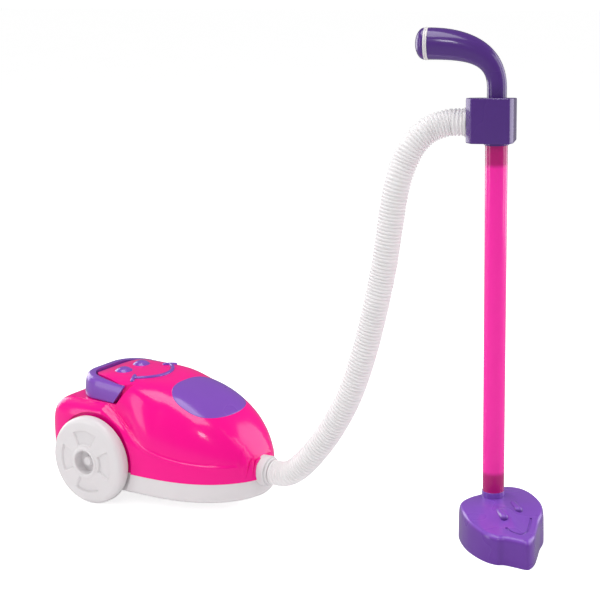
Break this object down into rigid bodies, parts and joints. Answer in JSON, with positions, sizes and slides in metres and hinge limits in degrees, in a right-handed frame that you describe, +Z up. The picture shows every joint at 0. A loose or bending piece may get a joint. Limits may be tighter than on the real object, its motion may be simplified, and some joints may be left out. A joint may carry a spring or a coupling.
{
  "type": "toy vacuum cleaner",
  "caption": "Toy canister vacuum cleaner: smiling wheeled body with a swing-up carry handle, ribbed hose, upright wand with a bent grip, and a swivelling floor nozzle.",
  "frame": {"origin": "on the floor, at the middle of the footprint", "axes": "+X the way the canister rolls forward, toward the wand; +Y to the canister's left; +Z up"},
  "size_m": [0.5786, 0.2084, 0.5239],
  "materials": {
    "pink_shell": "glossy hot pink moulded plastic",
    "pink_tube": "slightly translucent hot pink tube",
    "purple": "glossy purple moulded plastic",
    "dark_purple": "satin dark purple moulded plastic",
    "milk_white": "milky, faintly translucent plastic",
    "hose_white": "milky ribbed soft plastic",
    "steel": "plain steel pins, screws and axle"
  },
  "bodies": {
    "canister": {"upper_shell": "pink_shell", "base_tray": "milk_white", "hose_port": "milk_white", "nose_window": "purple", "eye_right": "purple", "eye_left": "purple", "smile": "purple", "handle_pin_right": "steel", "handle_pin_left": "steel", "rear_axle": "steel", "axle_cap_right": "milk_white", "axle_cap_left": "milk_white", "base_screws": "steel", "hose": "hose_white", "hose_cuff_lower": "milk_white"},
    "right_wheel": {"rear_wheel_right": "milk_white"},
    "left_wheel": {"rear_wheel_left": "milk_white"},
    "handle_band": {"carry_handle": "purple"},
    "caster_swivel": {"caster_fork": "milk_white", "caster_pin": "steel", "caster_clip": "steel"},
    "caster_roller": {"caster_wheel": "milk_white"},
    "wand": {"handle_block": "dark_purple", "grip": "dark_purple", "grip_ring": "milk_white", "grip_end_cap": "dark_purple", "hose_cuff_upper": "milk_white"},
    "lower_wand": {"tube_collar": "dark_purple", "wand_tube": "pink_tube", "nozzle_neck": "purple", "nozzle": "purple"}
  },
  "joints": [
    {"name": "right_wheel_spin", "type": "hinge", "parent": "canister", "child": "right_wheel", "pos_m": [-0.21242, -0.08823, 0.05], "axis": [0, 1, 0], "continuous": true},
    {"name": "left_wheel_spin", "type": "hinge", "parent": "canister", "child": "left_wheel", "pos_m": [-0.21242, 0.05977, 0.05], "axis": [0, 1, 0], "continuous": true},
    {"name": "carry_handle_swing", "type": "hinge", "parent": "canister", "child": "handle_band", "pos_m": [-0.18692, -0.01423, 0.1275], "axis": [0, 1, 0], "range_deg": [0, 75]},
    {"name": "caster_swivel_turn", "type": "hinge", "parent": "canister", "child": "caster_swivel", "pos_m": [-0.08242, -0.01423, 0.02], "axis": [0, 0, 1], "continuous": true},
    {"name": "caster_roll", "type": "hinge", "parent": "caster_swivel", "child": "caster_roller", "pos_m": [-0.08942, -0.01423, 0.0075], "axis": [0, 1, 0], "continuous": true},
    {"name": "wand_on_hose", "type": "slide", "parent": "canister", "child": "wand", "axis": [1, 0, 0], "range_m": [-0.04, 0.03], "deforming": ["hose"]},
    {"name": "wand_swivel", "type": "hinge", "parent": "wand", "child": "lower_wand", "pos_m": [0.21068, 0.06047, 0.411], "axis": [0, 0, 1], "continuous": true}
  ]
}
